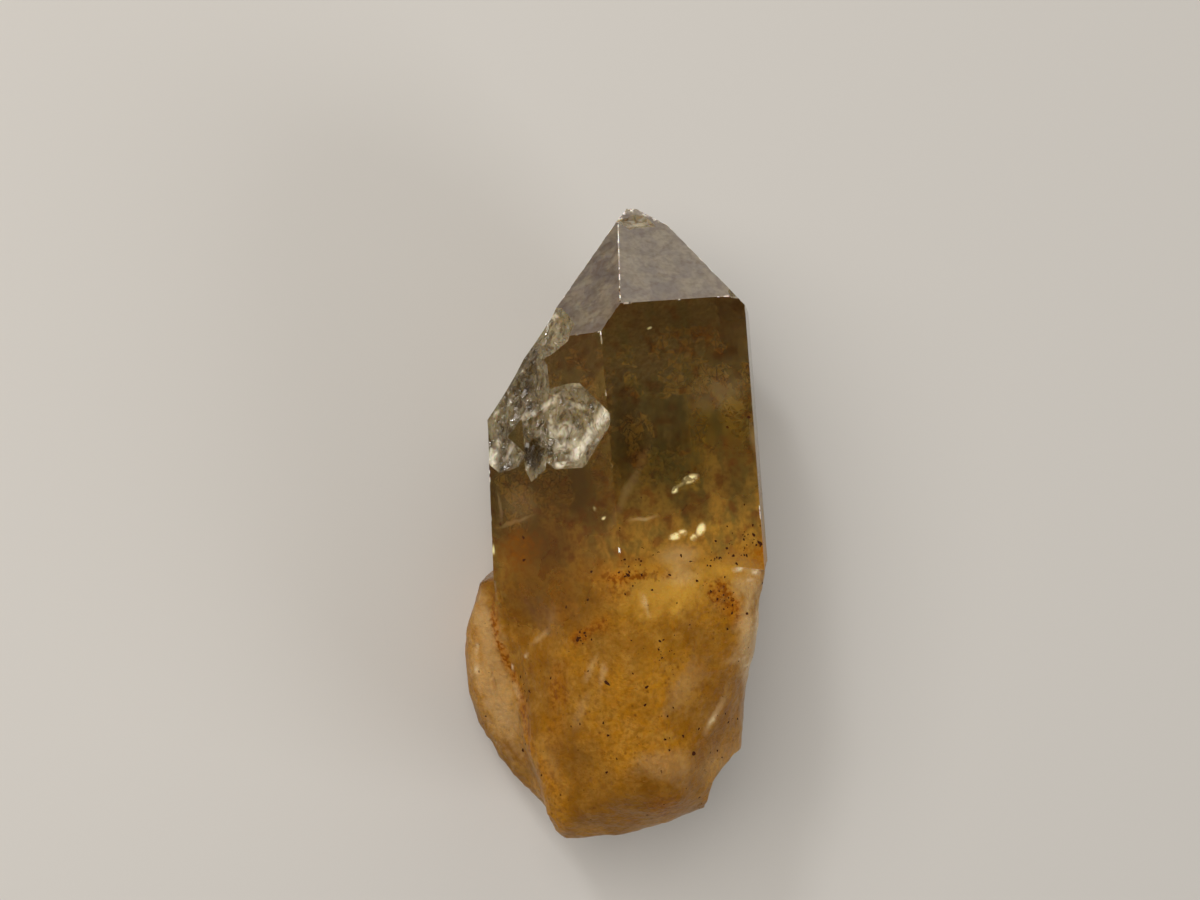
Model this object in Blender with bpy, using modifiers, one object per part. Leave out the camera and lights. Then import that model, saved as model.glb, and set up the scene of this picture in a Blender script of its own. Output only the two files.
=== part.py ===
# Smoky citrine point: one natural six-sided quartz crystal, lying on a prism face.
# Its long axis lies along Y with the tip at +Y, and +Z is up. Azimuths turn about that
# axis, from straight up towards +X. A face's tilt leans its normal towards the tip.

import math

import bmesh
import bpy
from mathutils import Matrix, Vector, noise

MM = 0.001
HALF_SIDE_ANGLE = 30.0

# Driving dimensions in millimetres. The long axis is the zero for widths and depths, and
# the lower end of the clear half is the zero for lengths.
APOTHEM = 16.8
REST_APOTHEM = 14.5
BLANK_RADIUS = 26.0
BLANK_TOP = 60.0
BLANK_BOTTOM = -40.0

# The three pairs of prism faces: azimuth, distance from the axis, taper towards the tip.
PRISM_FACES = (
    (0.0, APOTHEM, 0.0),
    (60.0, APOTHEM - 0.1, -1.2),
    (120.0, APOTHEM, 0.5),
    (180.0, REST_APOTHEM, 0.0),
    (240.0, APOTHEM - 0.1, 3.4),
    (300.0, APOTHEM + 0.1, 0.6),
)

# The six faces of the tip: azimuth, and how far up the axis each meets its prism face.
# Every one has the same slope, that of quartz's rhombohedron.
RHOMB_TILT = 38.21
TIP_FACES = (
    (0.0, 31.15),
    (60.0, 30.6),
    (120.0, 28.6),
    (180.0, 17.5),
    (240.0, 17.35),
    (300.0, 27.7),
)

# Broken faces: azimuth, tilt, distance from the zero point. The tip is chipped off short,
# and the root is broken all round.
TIP_BREAKS = (
    (65.0, 56.6, 38.7),
    (65.0, 84.0, 43.6),
    (150.0, 62.0, 39.4),
)
ROOT_BREAKS = (
    (65.0, -12.5, 15.9),
    (330.0, -4.0, 19.5),
    (27.0, -15.0, 19.3),
    (120.0, -9.0, 16.2),
    (245.0, -9.7, 18.7),
    (245.0, -46.7, 33.0),
    (65.0, -75.0, 31.9),
    (65.0, -50.0, 30.0),
    (330.0, -52.0, 32.6),
    (15.0, -58.0, 32.6),
    (180.0, -38.0, 29.2),
    (120.0, -30.0, 25.6),
    (215.0, -36.0, 28.2),
    (0.0, -90.0, 34.1),
)

# The side stub: its own axis beside the main one, as seen from the corner that faces
# FRONT, its prism and the breaks that end it.
FRONT = -25.0
STUB_ACROSS = -14.0
STUB_OUT = -1.5
STUB_APOTHEM = 8.6
STUB_TURN = -45.0
STUB_TOP = 3.0
STUB_BOTTOM = -32.0
STUB_BREAKS = (
    (245.0, 66.0, 7.3),
    (245.0, 18.5, 18.3),
    (245.0, -13.3, 25.4),
    (245.0, -50.0, 33.9),
    (300.0, -20.0, 19.9),
    (190.0, -30.0, 21.5),
)

# The front where clear quartz grew over the cloudy root: its height, how far it dips on
# the right, and the size and height of its waves. The clear half overhangs the root there.
GROWTH_HEIGHT = -0.6
GROWTH_DIP = 2.0
GROWTH_DIP_FROM = 8.0
GROWTH_DIP_TO = 15.0
GROWTH_WAVE = 7.0
GROWTH_WAVE_HEIGHT = 1.1
GROWTH_GRID = 24
GROWTH_BOTTOM = -48.0
ROOT_TOP = 4.5

# Bites in the surface, as flattened balls: the azimuth that each is seen from, across,
# along and out from the axis to its centre, and its half-axes across, along and out.
BITES = {
    "shoulder_bite": (-60.0, 3.5, 17.5, 20.9, (8.5, 6.8, 7.0)),
    "shoulder_shelf": (-60.0, -4.0, 22.6, 25.4, (10.5, 9.0, 11.2)),
    "shoulder_flake": (-60.0, -6.0, 16.6, 19.0, (5.6, 6.6, 3.4)),
    "shoulder_lens": (-60.0, -1.9, 13.8, 18.2, (2.0, 3.6, 2.6)),
    "shoulder_chip": (-62.0, 1.0, 30.4, 20.4, (7.2, 6.8, 7.4)),
    "corner_nick": (35.0, -1.6, 31.6, 19.9, (1.6, 1.3, 1.8)),
    "tip_chip": (-12.0, 2.9, 41.9, 9.7, (2.5, 1.7, 2.2)),
    "root_notch": (-25.0, 13.4, -31.6, 0.0, (8.6, 8.0, 34.0)),
    "root_scoop": (10.0, -1.0, -33.0, 26.0, (15.0, 10.0, 14.0)),
    "stub_scoop": (-25.0, -18.6, -15.0, 13.3, (5.0, 11.5, 8.4)),
    "shell_scoop": (-60.0, -5.0, -6.4, 24.5, (13.0, 11.5, 9.0)),
}
BITE_ROUGHNESS = 1.6
BITE_GRAIN = 1.3

# The frosted ridge down the right of the root, its top a lip below the ledge.
RIDGE = (-25.0, 12.0, -8.2, 8.4, (2.4, 6.2, 5.6))

# How the broken root is worn: where wear starts and where it is full, how far the root is
# sunk below the clear half, and how its corners are rounded.
ROOT_MESH = 1.3
ROOT_START = 0.0
ROOT_FULL = -9.0
ROOT_INSET = 0.14
ROUNDING_STEPS = 5
ROUNDING_SHARE = 0.5

# The root's lumps: broad swells with finer ridges on them, let in a little overall.
SWELL_GRAIN = 9.0
SWELL_HEIGHT = 0.675
CREST_GRAIN = 5.4
CREST_HEIGHT = 0.36
CREST_SHIFT = Vector((7.0, 3.0, 1.0))
LUMP_SINK = 0.135

# Skin nearer than this to the resting face is made flat, just above that face.
REST_REACH = 0.25
REST_GAP = 0.02

# Colours, as linear red, green, blue.
QUARTZ_COLOUR = (0.30, 0.15, 0.035, 1.0)
QUARTZ_ROUGHNESS = 0.22
QUARTZ_IOR = 1.544


def clear_scene():
    for old in list(bpy.data.objects):
        bpy.data.objects.remove(old, do_unlink=True)


def new_collection(name):
    found = bpy.data.collections.new(name)
    bpy.context.scene.collection.children.link(found)
    return found


def normal_at(azimuth, tilt):
    turn = math.radians(azimuth)
    lean = math.radians(tilt)
    return Vector((math.cos(lean) * math.sin(turn), math.sin(lean), math.cos(lean) * math.cos(turn)))


def place(azimuth, across, along, out):
    """The point across, along and out from the axis, as seen from an azimuth, in metres."""
    turn = math.radians(azimuth)
    x = out * math.sin(turn) + across * math.cos(turn)
    z = out * math.cos(turn) - across * math.sin(turn)
    return Vector((x, along, z)) * MM


def cut_face(bm, point, normal):
    """Cuts everything past a plane off a closed convex body and closes the cut."""
    everything = bm.verts[:] + bm.edges[:] + bm.faces[:]
    cut = bmesh.ops.bisect_plane(
        bm, geom=everything, dist=1e-8, plane_co=point, plane_no=normal, clear_outer=True
    )
    rim = [item for item in cut["geom_cut"] if isinstance(item, bmesh.types.BMEdge)]
    if rim:
        bmesh.ops.contextual_create(bm, geom=rim)


def hexagonal_blank(radius, bottom, top, turn):
    """A six-sided prism along Y with a flat side at azimuth turn, larger than the crystal."""
    bm = bmesh.new()
    bmesh.ops.create_cone(
        bm,
        cap_ends=True,
        segments=6,
        radius1=radius * MM,
        radius2=radius * MM,
        depth=(top - bottom) * MM,
    )
    upright = Matrix.Rotation(math.radians(-90.0), 4, "X")
    about_axis = Matrix.Rotation(math.radians(turn + HALF_SIDE_ANGLE), 4, "Y")
    middle = Matrix.Translation((0.0, (top + bottom) / 2 * MM, 0.0))
    bm.transform(middle @ about_axis @ upright)
    return bm


def wear_share(y):
    """How worn the surface is at a height: 0 in the clear half, 1 in the root."""
    share = (ROOT_START * MM - y) / ((ROOT_START - ROOT_FULL) * MM)
    share = min(max(share, 0.0), 1.0)
    return share * share * (3.0 - 2.0 * share)


def lumps(point):
    """Height of the root's lumps at a point, in metres."""
    swell = noise.noise(point / (SWELL_GRAIN * MM))
    crest = 0.5 - abs(noise.noise(point / (CREST_GRAIN * MM) + CREST_SHIFT))
    return (SWELL_HEIGHT * swell + CREST_HEIGHT * crest - LUMP_SINK) * MM


def wear(bm):
    """Rounds the root's corners and raises its lumps. Its resting side stays flat."""
    rest_height = -REST_APOTHEM * MM
    for _ in range(ROUNDING_STEPS):
        moves = []
        for vert in bm.verts:
            share = wear_share(vert.co.y)
            ring = [edge.other_vert(vert).co for edge in vert.link_edges]
            middle = sum(ring, Vector()) / len(ring)
            moves.append((vert, (middle - vert.co) * ROUNDING_SHARE * share))
        for vert, move in moves:
            vert.co += move
    bm.normal_update()
    moves = []
    for vert in bm.verts:
        share = wear_share(vert.co.y)
        height = lumps(vert.co) * share - ROOT_INSET * MM * (1.0 - share)
        if vert.co.z > rest_height + REST_REACH * MM:
            moves.append((vert, vert.normal * height))
        else:
            moves.append((vert, Vector((0.0, 0.0, rest_height + REST_GAP * MM - vert.co.z))))
    for vert, move in moves:
        vert.co += move


def add_object(name, bm, home):
    mesh = bpy.data.meshes.new(name)
    bm.normal_update()
    bm.to_mesh(mesh)
    bm.free()
    obj = bpy.data.objects.new(name, mesh)
    home.objects.link(obj)
    return obj


def add_cutter(name, bm, home):
    cutter = add_object(name, bm, home)
    cutter.hide_render = True
    cutter.display_type = "WIRE"
    return cutter


def grown_body():
    """The main point as it grew: six prism faces, and a tip chipped off short."""
    bm = hexagonal_blank(BLANK_RADIUS, BLANK_BOTTOM, BLANK_TOP, 0.0)
    for azimuth, distance, taper in PRISM_FACES:
        cut_face(bm, place(azimuth, 0.0, 0.0, distance), normal_at(azimuth, taper))
    for azimuth, foot in TIP_FACES:
        cut_face(bm, place(azimuth, 0.0, foot, APOTHEM), normal_at(azimuth, RHOMB_TILT))
    for azimuth, tilt, distance in TIP_BREAKS:
        normal = normal_at(azimuth, tilt)
        cut_face(bm, normal * distance * MM, normal)
    return bm


def broken_root():
    """The lower end of the main point, broken all round."""
    bm = grown_body()
    cut_face(bm, Vector((0.0, ROOT_TOP * MM, 0.0)), Vector((0.0, 1.0, 0.0)))
    for azimuth, tilt, distance in ROOT_BREAKS:
        normal = normal_at(azimuth, tilt)
        cut_face(bm, normal * distance * MM, normal)
    return bm


def growth_height(x, z):
    """Height of the wavy front between the clear half and the root, in metres."""
    turn = math.radians(FRONT)
    across = (x * math.cos(turn) - z * math.sin(turn)) / MM
    dip = (across - GROWTH_DIP_FROM) / (GROWTH_DIP_TO - GROWTH_DIP_FROM)
    dip = min(max(dip, 0.0), 1.0)
    wave = noise.noise(Vector((x, 0.0, z)) / (GROWTH_WAVE * MM))
    return (GROWTH_HEIGHT - GROWTH_DIP * dip + GROWTH_WAVE_HEIGHT * wave * (1.0 - dip)) * MM


def growth_front():
    """A block that fills the space of the root, its top the wavy front."""
    bm = bmesh.new()
    half = BLANK_RADIUS * MM
    bmesh.ops.create_grid(bm, x_segments=GROWTH_GRID, y_segments=GROWTH_GRID, size=half)
    bm.transform(Matrix.Rotation(math.radians(-90.0), 4, "X"))
    top = bm.faces[:]
    below = bmesh.ops.extrude_face_region(bm, geom=top)
    low_verts = [item for item in below["geom"] if isinstance(item, bmesh.types.BMVert)]
    low = set(low_verts)
    for vert in bm.verts:
        if vert in low:
            vert.co.y = GROWTH_BOTTOM * MM
        else:
            vert.co.y = growth_height(vert.co.x, vert.co.z)
    bmesh.ops.recalc_face_normals(bm, faces=bm.faces[:])
    return bm


def side_stub():
    radius = STUB_APOTHEM / math.cos(math.radians(HALF_SIDE_ANGLE))
    bm = hexagonal_blank(radius, STUB_BOTTOM, STUB_TOP, STUB_TURN)
    bm.transform(Matrix.Translation(place(FRONT, STUB_ACROSS, 0.0, STUB_OUT)))
    for azimuth, tilt, distance in STUB_BREAKS:
        normal = normal_at(azimuth, tilt)
        cut_face(bm, normal * distance * MM, normal)
    return bm


def bite(azimuth, across, along, out, half_axes):
    """A flattened ball with uneven flat sides, turned to face an azimuth."""
    bm = bmesh.new()
    bmesh.ops.create_icosphere(bm, subdivisions=2, radius=1.0)
    for vert in bm.verts:
        skin = noise.noise(vert.co * BITE_GRAIN + Vector((along, out, across)))
        vert.co *= 1.0 + BITE_ROUGHNESS * skin / max(half_axes)
    wide, long, deep = half_axes
    size = Matrix.Diagonal((wide * MM, long * MM, deep * MM, 1.0))
    turn = Matrix.Rotation(math.radians(azimuth), 4, "Y")
    bm.transform(Matrix.Translation(place(azimuth, across, along, out)) @ turn @ size)
    return bm


def add_boolean(target, cutter, operation):
    step = target.modifiers.new(cutter.name, "BOOLEAN")
    step.operation = operation
    step.solver = "EXACT"
    step.object = cutter


def applied(obj):
    """The object's mesh with its modifiers applied, as an editable mesh."""
    graph = bpy.context.evaluated_depsgraph_get()
    bm = bmesh.new()
    bm.from_object(obj, graph)
    return bm


def quartz():
    material = bpy.data.materials.new("smoky_citrine")
    material.use_nodes = True
    shader = material.node_tree.nodes["Principled BSDF"]
    shader.inputs["Base Color"].default_value = QUARTZ_COLOUR
    shader.inputs["Roughness"].default_value = QUARTZ_ROUGHNESS
    shader.inputs["Metallic"].default_value = 0.0
    shader.inputs["IOR"].default_value = QUARTZ_IOR
    return material


def build():
    clear_scene()
    parts = new_collection("citrine_crystal")
    cutters = new_collection("cutters")

    # The root, its stub and its ridge are one lump before they are worn.
    root = add_cutter("rough_root", broken_root(), cutters)
    add_boolean(root, add_cutter("side_stub", side_stub(), cutters), "UNION")
    add_boolean(root, add_cutter("frosted_ridge", bite(*RIDGE), cutters), "UNION")
    even = root.modifiers.new("even_mesh", "REMESH")
    even.mode = "VOXEL"
    even.voxel_size = ROOT_MESH * MM
    bpy.context.view_layer.update()
    bm = applied(root)
    wear(bm)
    worn_root = add_cutter("worn_root", bm, cutters)

    crystal = add_object("crystal", grown_body(), parts)
    add_boolean(crystal, add_cutter("growth_front", growth_front(), cutters), "DIFFERENCE")
    add_boolean(crystal, worn_root, "UNION")
    for name, values in BITES.items():
        add_boolean(crystal, add_cutter(name, bite(*values), cutters), "DIFFERENCE")
    bpy.context.view_layer.update()
    bm = applied(crystal)
    bmesh.ops.triangulate(bm, faces=bm.faces[:])

    # The origin is the middle of the box, level with the resting face.
    low = [min(vert.co[axis] for vert in bm.verts) for axis in range(3)]
    high = [max(vert.co[axis] for vert in bm.verts) for axis in range(3)]
    shift = Vector((-(low[0] + high[0]) / 2, -(low[1] + high[1]) / 2, -low[2]))
    bm.transform(Matrix.Translation(shift))
    crystal.modifiers.clear()
    bm.normal_update()
    bm.to_mesh(crystal.data)
    bm.free()
    crystal.data.materials.append(quartz())
    print("long axis at", [round(value / MM, 3) for value in shift], "mm from the origin")


build()
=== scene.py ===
import cmath
import math
import random

import bmesh
import bpy
from mathutils import Euler, Matrix, Vector, noise
from mathutils.bvhtree import BVHTree
from mathutils.kdtree import KDTree


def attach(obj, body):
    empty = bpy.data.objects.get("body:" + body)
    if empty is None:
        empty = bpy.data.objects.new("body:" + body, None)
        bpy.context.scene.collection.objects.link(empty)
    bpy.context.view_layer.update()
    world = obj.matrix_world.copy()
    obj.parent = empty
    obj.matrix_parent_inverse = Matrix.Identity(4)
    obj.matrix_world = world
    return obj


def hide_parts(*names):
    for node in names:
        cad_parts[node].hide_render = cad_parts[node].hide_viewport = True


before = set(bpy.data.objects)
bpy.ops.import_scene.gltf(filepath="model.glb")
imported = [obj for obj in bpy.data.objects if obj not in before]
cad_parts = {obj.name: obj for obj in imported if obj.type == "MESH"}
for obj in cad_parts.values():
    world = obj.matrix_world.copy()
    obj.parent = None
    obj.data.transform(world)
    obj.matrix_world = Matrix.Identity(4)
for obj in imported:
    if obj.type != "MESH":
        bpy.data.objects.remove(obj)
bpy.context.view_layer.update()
mm = 0.001

# The crystal lies on a prism face with its long axis along Y. Places on it are given the way
# the camera faces it, in millimetres: across the axis, along it from the foot of the clear
# half, and out from the axis.
axisPlace = Vector((0.907, -4.711, 14.5)) * mm
viewTurn = math.radians(25.0)  # the camera stands this far round the axis from straight above
acrossDir = Vector((math.cos(viewTurn), 0.0, math.sin(viewTurn)))
alongDir = Vector((0.0, 1.0, 0.0))
outDir = Vector((-math.sin(viewTurn), 0.0, math.cos(viewTurn)))


def placeAt(across, along, out):
    return axisPlace + (acrossDir * across + alongDir * along + outDir * out) * mm


def seenAt(point):  # the other way round, from metres
    away = (point - axisPlace) / mm
    return away.dot(acrossDir), away.y, away.dot(outDir)


def share(value, start, end):
    part = min(max((value - start) / (end - start), 0.0), 1.0)
    return part * part * (3.0 - 2.0 * part)


def grainAt(spot, grains):  # noise summed over sizes in mm, each with its weight
    return sum(weight * noise.noise(spot / (size * mm)) for size, weight in grains.items())


def linearColour(hexCode):
    parts = [int(hexCode[i:i + 2], 16) / 255 for i in (1, 3, 5)]
    return [c / 12.92 if c <= 0.04045 else ((c + 0.055) / 1.055) ** 2.4 for c in parts] + [1.0]


def addObject(name, data):
    made = bpy.data.objects.new(name, data)
    bpy.context.scene.collection.objects.link(made)
    return made


def makeActive(piece):
    if bpy.context.object and bpy.context.object.mode != "OBJECT":
        bpy.ops.object.mode_set(mode="OBJECT")
    bpy.ops.object.select_all(action="DESELECT")
    piece.select_set(True)
    bpy.context.view_layer.objects.active = piece


def copyOfNode(name):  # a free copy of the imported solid, ready to be worked on
    piece = addObject(name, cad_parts["crystal"].data.copy())
    piece.data.materials.clear()
    makeActive(piece)
    return piece


def editAll():  # edit mode with everything selected
    bpy.ops.object.mode_set(mode="EDIT")
    bpy.ops.mesh.select_all(action="SELECT")


def selectIn(piece, kind, wanted):  # kind is FACE or EDGE; leaves the piece in edit mode
    bpy.ops.object.mode_set(mode="OBJECT")
    mesh = piece.data
    for parts in (mesh.vertices, mesh.edges, mesh.polygons):
        parts.foreach_set("select", [False] * len(parts))
    found = 0
    for part in mesh.polygons if kind == "FACE" else mesh.edges:
        part.select = bool(wanted(part))
        found += part.select
    bpy.context.tool_settings.mesh_select_mode = (False, kind == "EDGE", kind == "FACE")
    bpy.ops.object.mode_set(mode="EDIT")
    return found


def weigh(piece, name, weightOf):
    group = piece.vertex_groups.new(name=name)
    for vertex in piece.data.vertices:
        weight = weightOf(vertex)
        if weight > 0.0:
            group.add([vertex.index], weight, "REPLACE")


def addModifier(piece, kind, settings):  # added and applied at once
    step = piece.modifiers.new(kind.lower(), kind)
    for key, value in settings.items():
        setattr(step, key, value)
    bpy.ops.object.modifier_apply(modifier=step.name)


def roughen(piece, kind, size, height, group="", guide=None):  # size and height in millimetres
    texture = bpy.data.textures.new(kind.lower(), kind)
    texture.noise_scale = size * mm
    addModifier(piece, "DISPLACE", {
        "texture": texture, "texture_coords": "OBJECT" if guide else "LOCAL",
        "texture_coords_object": guide, "strength": height * mm,
        "mid_level": 0.5, "vertex_group": group,
    })


def addNode(tree, kind, settings=None, inputs=None):
    made = tree.nodes.new("ShaderNode" + kind)
    for key, value in (settings or {}).items():
        setattr(made, key, value)
    for key, value in (inputs or {}).items():
        if isinstance(value, bpy.types.NodeSocket):
            tree.links.new(value, made.inputs[key])
        else:
            made.inputs[key].default_value = value
    return made


def newMaterial(name, values):  # values by the shader's own sockets, a colour as a hex code
    made = bpy.data.materials.new(name)
    made.use_nodes = True
    shader = made.node_tree.nodes["Principled BSDF"]
    for socket, value in values.items():
        shader.inputs[socket].default_value = linearColour(value) if isinstance(value, str) else value
    return made


def viewPlaces(tree):  # Object coordinates as across, along and out, in millimetres
    away = axisPlace / mm
    return addNode(tree, "Mapping", None, {
        "Vector": addNode(tree, "TexCoord").outputs["Object"],
        "Location": (-away.dot(acrossDir), -away.y, -away.dot(outDir)),
        "Rotation": (0.0, viewTurn, 0.0),
        "Scale": (1 / mm, 1 / mm, 1 / mm),
    }).outputs[0]


# The camera looks square to the long axis, down on the lying crystal.
cameraSet = {
    "lens": 70.0,
    "distance": 291.67,
    "look": (-2.92, 13.93, 5.0),
    "roll": 0.09585,  # the crystal's lean in the picture, as a sine
}


def addCamera():
    roll = cameraSet["roll"]
    upDir = (acrossDir * roll + alongDir * math.sqrt(1 - roll * roll)).normalized()
    facing = Matrix((upDir.cross(outDir), upDir, outDir)).transposed().to_4x4()
    camera = addObject("camera", bpy.data.cameras.new("camera"))
    place = placeAt(*cameraSet["look"]) + outDir * cameraSet["distance"] * mm
    camera.matrix_world = Matrix.Translation(place) @ facing
    camera.data.lens = cameraSet["lens"]
    camera.data.clip_start = 0.01
    bpy.context.scene.camera = camera


# Each light looks at the crystal from the direction given.
lightSet = {
    "softKey": {
        "from": (-0.7, 0.3, 0.9), "distance": 1.0, "size": (0.7, 0.7), "power": 7.2, "colour": "#fff8f0",
    },
    "backSoftbox": {
        "from": (0.42, 0.88, 0.25), "distance": 0.9, "size": (0.8, 0.35), "power": 2.6, "colour": "#f8efe2",
    },
    "smallSpark": {
        "from": (-0.55, 0.62, 0.7), "distance": 1.0, "size": (0.12, 0.12), "power": 1.6, "colour": "#ffffff",
    },
    "rightFill": {
        "from": (0.9, -0.7, 0.6), "distance": 1.1, "size": (0.6, 0.6), "power": 3.3, "colour": "#ffffff",
    },
}
studioSet = {
    "floorSize": 3.0,
    "floorDrop": 0.2,  # mm under the crystal
    "paper": {"Base Color": "#cfcdc9", "Roughness": 0.9},
    "air": "#ccc8c2",
    "airStrength": 0.3,
}


def addStudio():
    bpy.ops.object.select_all(action="DESELECT")
    place = (0, 0, -studioSet["floorDrop"] * mm)
    bpy.ops.mesh.primitive_plane_add(size=studioSet["floorSize"], location=place)
    floor = bpy.context.object
    floor.name = "paper_sweep"
    paper = newMaterial("matt_paper", studioSet["paper"])  # matt, with no sheen
    floor.data.materials.append(paper)
    for name, values in lightSet.items():
        lamp = bpy.data.lights.new(name, "AREA")
        lamp.shape = "RECTANGLE"
        lamp.size, lamp.size_y = values["size"]
        lamp.energy = values["power"]
        lamp.color = linearColour(values["colour"])[:3]
        holder = addObject(name, lamp)
        way = Vector(values["from"]).normalized()
        turn = way.to_track_quat("Z", "Y").to_matrix().to_4x4()
        holder.matrix_world = Matrix.Translation(way * values["distance"]) @ turn
    air = bpy.data.worlds.new("studio")
    air.use_nodes = True
    background = air.node_tree.nodes["Background"]
    background.inputs["Color"].default_value = linearColour(studioSet["air"])
    background.inputs["Strength"].default_value = studioSet["airStrength"]
    bpy.context.scene.world = air
    bpy.context.scene.view_settings.view_transform = "Standard"


addCamera()
addStudio()
print("camera, floor and lights are in place")

# The quartz point: its crystal faces stay dead flat, its broken surfaces are made finer, and
# its edges are nicked.
pointSet = {
    # how crystal faces are told from broken ones: leans are sines, turns are degrees, areas mm2
    "wallLean": 0.07,  # a side of the prism leans less
    "tipLean": 0.6,  # a face of the tip leans more
    "apexLean": 0.8,  # and the cut across the apex more still
    "turnSlack": 0.5,
    "sameFacing": 0.9995,  # cosine between a face and the crystal face that it belongs to
    "underFacing": -0.999,
    "flatArea": 4.9,  # a crystal face is larger
    "wallArea": 40.0,  # a side of the prism is larger
    "nickArea": 0.3,  # a nick is smaller
    "crispAngle": 12.0,
    # places and lengths in mm, the places along the axis
    "weld": 0.002,
    "underTop": 0.1,
    "faceStart": 0.3,
    "rootTop": 0.9,
    "rootEdge": 0.6,
    "rootLumps": (3.5, 0.5),  # size and height
    "rootGrit": (0.9, 0.14),
    "rootFade": (-1.2, -3.5),
    "footFade": (0.3, 1.2),  # up from the surface that it lies on
    "easeFade": (-7.0, -0.8),  # the root stays flush with the prism at its top
    "easeProud": 0.9,  # a lump this high is flattened
    "easeHollow": 2.4,  # and a hollow this deep is filled
    "easeSoft": 1.2,
    "breakStart": 4.0,
    "breakEdge": 0.36,
    "breakFlakes": (1.4, 1.15),
    "breakSplinters": (0.5, 0.3),
    "rimFade": 0.6,
    "apexStart": 36.0,
    "nickStep": 0.3,
    "nickWidth": 0.06,
    "nickDepth": 0.45,
    "nickGrains": {0.9: 1.0, 0.35: 0.7},  # the noise of a nick: size in mm and weight
    "nickLevel": 0.15,
    # shares and angles in degrees
    "halvings": 9,
    "apexFlakes": 0.25,
    "apexBroken": 0.45,
    "tipFaceLean": 0.4,
    "sameFace": 0.3,
    "flakeStretch": 2.4,
    "flakeTurn": -34.0,  # from the long axis, as the camera sees them
    "creaseAngle": 28.0,
}

crystalNormals = {}  # of the flat crystal faces, by the number kept with each face


def markCrystalFaces(mesh):  # they turn by sixths round the axis; one more cuts off the apex
    kept = mesh.attributes.new("crystalFace", "INT", "FACE")
    for face in mesh.polygons:
        lean = face.normal.y
        offTurn = (math.degrees(math.atan2(face.normal.x, face.normal.z)) + 30.0) % 60.0 - 30.0
        turned = abs(offTurn) < pointSet["turnSlack"]
        leaning = abs(lean) < pointSet["wallLean"] or lean > pointSet["tipLean"]
        large = face.area > pointSet["flatArea"] * mm * mm
        inClearHalf = seenAt(face.center)[1] > pointSet["faceStart"]
        if large and inClearHalf and (turned and leaning or lean > pointSet["apexLean"]):
            kept.data[face.index].value = face.index + 1
            crystalNormals[face.index + 1] = face.normal.copy()


def isFlat(face):  # a nicked edge takes its neighbour's number, but leans
    kept = face.id_data.attributes["crystalFace"].data[face.index].value
    return kept > 0 and face.normal.dot(crystalNormals[kept]) > pointSet["sameFacing"]


def isUnder(face):
    return face.normal.z < pointSet["underFacing"] and face.center.z < pointSet["underTop"] * mm


def isBroken(face):
    return seenAt(face.center)[1] > pointSet["breakStart"] and not isFlat(face)


def isRoot(face):
    return seenAt(face.center)[1] < pointSet["rootTop"] and not isFlat(face) and not isUnder(face)


def divideLong(piece, keys, longest):
    for _ in range(pointSet["halvings"]):
        bpy.ops.object.mode_set(mode="OBJECT")
        spots = piece.data.vertices
        inside = keys(piece.data)

        def isLong(edge):
            start, end = edge.vertices
            return edge.key in inside and (spots[start].co - spots[end].co).length > longest * mm

        if not selectIn(piece, "EDGE", isLong):
            break
        bpy.ops.mesh.subdivide(number_cuts=1)
    bpy.ops.object.mode_set(mode="OBJECT")


def edgesOf(wanted):
    return lambda mesh: {key for face in mesh.polygons if wanted(face) for key in face.edge_keys}


def crispEdges(mesh):  # where two crystal faces meet
    sides = {}
    for face in mesh.polygons:
        if isFlat(face):
            for key in face.edge_keys:
                sides.setdefault(key, []).append(face.normal.copy())
    sharpest = math.radians(pointSet["crispAngle"])
    return {key for key, pair in sides.items() if len(pair) == 2 and pair[0].angle(pair[1]) > sharpest}


def divideCrisp(piece):  # the subdivide operator would also cut the crystal faces across
    bpy.ops.object.mode_set(mode="OBJECT")
    crisp = crispEdges(piece.data)
    cage = bmesh.new()
    cage.from_mesh(piece.data)
    byCuts = {}
    for edge in cage.edges:
        cuts = int(edge.calc_length() / (pointSet["nickStep"] * mm))
        if cuts and tuple(sorted(corner.index for corner in edge.verts)) in crisp:
            byCuts.setdefault(cuts, []).append(edge)
    for cuts, edges in byCuts.items():
        bmesh.ops.bisect_edges(cage, edges=edges, cuts=cuts)
    cage.to_mesh(piece.data)
    cage.free()


# An edge is bruised where noise rises above a level, and the level is lower where it is
# bruised more.
bruiseSet = {
    "level": 0.45,
    "tipLevel": -0.2,  # on the near side of the tip
    "ridgeLevel": -0.8,  # on its ridge and its top
    "cornerLevel": -0.3,  # at its right corner
    "softness": (-0.05, 0.15),
    "tipStart": 31.5,  # places in mm
    "topStart": 40.0,
    "ridge": {"along": 31.0, "across": 1.05, "lean": 0.085, "reach": 0.9},
    "corner": {"along": 29.0, "across": 13.0},
    "grains": {0.9: 1.0, 0.3: 0.5, 3.5: 0.6},  # size in mm and weight
    "leastWhite": 0.4,
    "whiteGrains": {0.6: 1.0},
    "whiteFade": (-0.15, 0.25),
}


def bruiseAt(spot):
    across, along, out = seenAt(spot)
    ridge, corner = bruiseSet["ridge"], bruiseSet["corner"]
    level = bruiseSet["level"]
    if along > bruiseSet["tipStart"] and out > 0.0:
        ridgeAcross = ridge["across"] + (along - ridge["along"]) * ridge["lean"]
        onRidge = abs(across - ridgeAcross) < ridge["reach"] or along > bruiseSet["topStart"]
        level = bruiseSet["ridgeLevel" if onRidge else "tipLevel"]
    if across > corner["across"] and along > corner["along"]:
        level = bruiseSet["cornerLevel"]
    start, end = bruiseSet["softness"]
    return share(grainAt(spot, bruiseSet["grains"]), level + start, level + end)


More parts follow.
